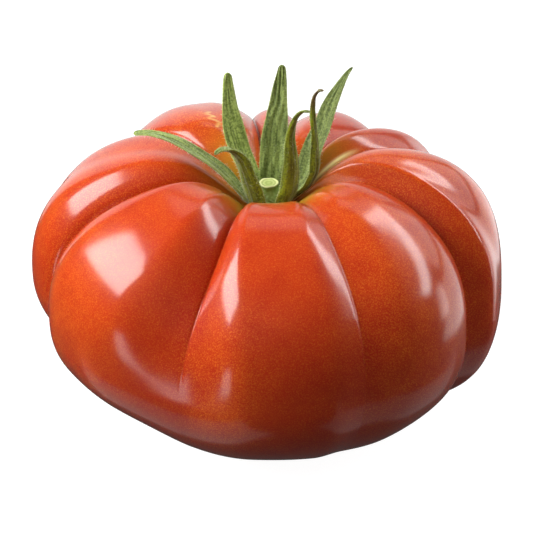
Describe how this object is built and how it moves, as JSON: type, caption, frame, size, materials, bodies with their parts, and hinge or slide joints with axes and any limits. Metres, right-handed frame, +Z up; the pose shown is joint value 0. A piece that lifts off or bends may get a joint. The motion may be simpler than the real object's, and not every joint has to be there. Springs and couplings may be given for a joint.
{
  "type": "ribbed beefsteak tomato",
  "caption": "Squat ribbed beefsteak tomato with deep lobes, a cut stem stub and a green calyx, standing on a small flat spot at its blossom end.",
  "frame": {"origin": "middle of the flat resting spot at the blossom end, on the surface that the tomato stands on", "axes": "+Z up along the core to the stem, -Y to the front, +X to the right seen from the front"},
  "size_m": [0.1125, 0.1066, 0.0818],
  "materials": {
    "skin": "smooth waxy orange-red fruit skin, glossy, with fine pale flecks",
    "stem": "fresh cut green stem, satin",
    "sepal": "dull green downy leaf tissue"
  },
  "bodies": {
    "root": {"fruit": "skin", "stem_stub": "stem", "sepal_left": "sepal", "sepal_back_left": "sepal", "sepal_front_left": "sepal", "sepal_back": "sepal", "sepal_front_right": "sepal", "sepal_back_right": "sepal", "sepal_right": "sepal"}
  },
  "joints": []
}
